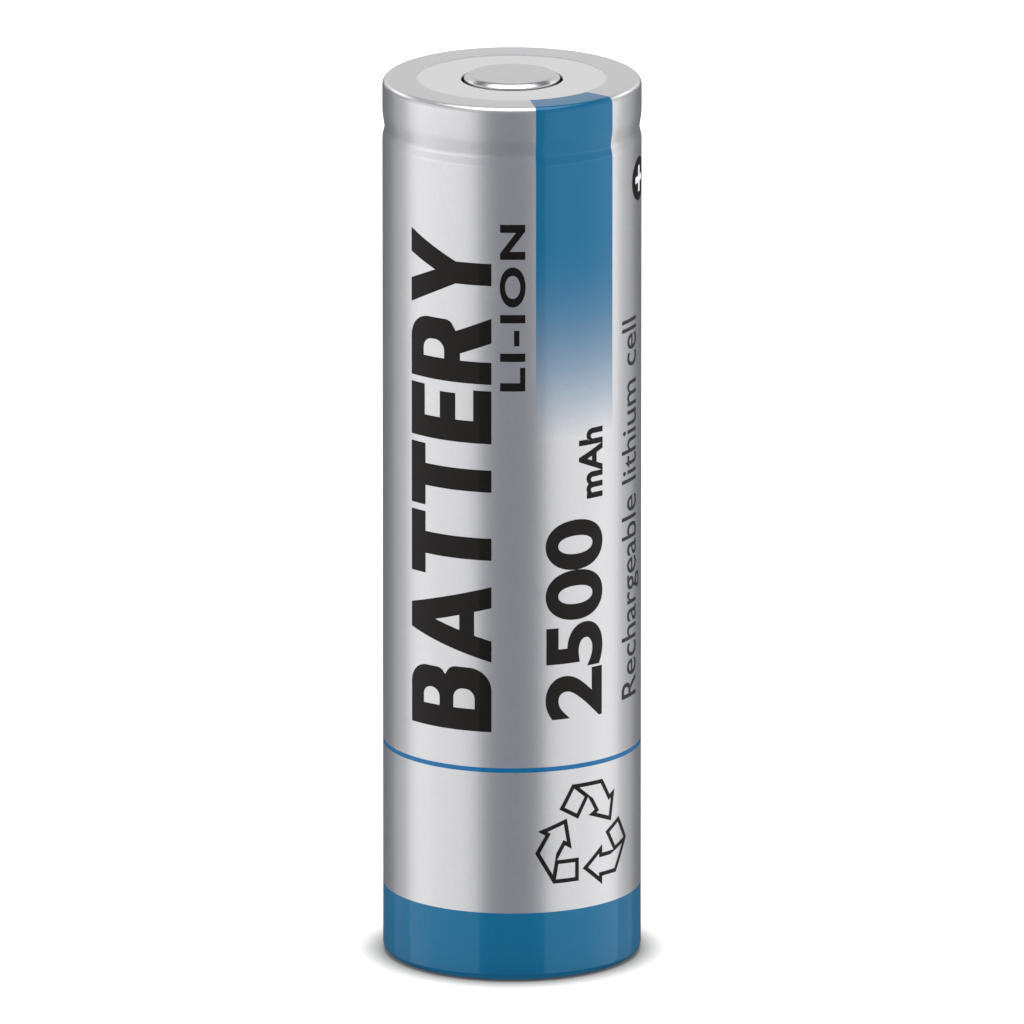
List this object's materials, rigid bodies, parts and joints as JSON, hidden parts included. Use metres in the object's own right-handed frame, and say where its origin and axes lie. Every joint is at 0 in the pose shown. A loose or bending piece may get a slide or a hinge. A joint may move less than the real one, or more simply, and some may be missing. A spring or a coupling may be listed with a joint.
{
  "type": "cylindrical battery cell",
  "caption": "Upright cylindrical rechargeable cell with a raised button terminal, an insulating washer, a rolled groove and a printed shrink sleeve.",
  "frame": {"origin": "middle of the sleeve's lower face, on the surface that the cell stands on", "axes": "+Z along the cell towards the positive button; the tabs leave the roll on the +Y side"},
  "size_m": [0.0186, 0.0186, 0.065],
  "materials": {
    "sleeve_film": "gloss",
    "washer_paper": "matte",
    "can_steel": "satin",
    "cap_steel": "satin",
    "fuse_polymer": "matte",
    "disc_aluminium": "satin",
    "holder_plastic": "satin",
    "gasket_plastic": "satin",
    "disc_fibre": "matte",
    "tab_aluminium": "satin",
    "tab_nickel": "satin",
    "cathode_coating": "matte",
    "anode_coating": "matte",
    "separator_film": "satin",
    "roll_tape_film": "gloss",
    "pin_steel": "satin"
  },
  "bodies": {
    "cell": {"shrink_sleeve": "sleeve_film", "insulating_washer": "washer_paper", "steel_can": "can_steel", "positive_cap": "cap_steel", "ptc_ring": "fuse_polymer", "vent_disc_rim": "disc_aluminium", "interrupter_insulator": "holder_plastic", "interrupter_plate": "disc_aluminium", "crimp_gasket": "gasket_plastic", "top_insulator": "disc_fibre", "bottom_insulator": "disc_fibre", "positive_tab": "tab_aluminium", "negative_tab": "tab_nickel", "positive_electrode": "cathode_coating", "negative_electrode": "anode_coating", "inner_separator": "separator_film", "outer_separator": "separator_film", "roll_tape": "roll_tape_film", "center_pin": "pin_steel"},
    "interrupter_dish": {"vent_disc_dish": "disc_aluminium"}
  },
  "joints": [
    {"name": "interrupter_snap", "type": "slide", "parent": "cell", "child": "interrupter_dish", "axis": [0, 0, 1], "range_m": [0, 0.0005]}
  ]
}
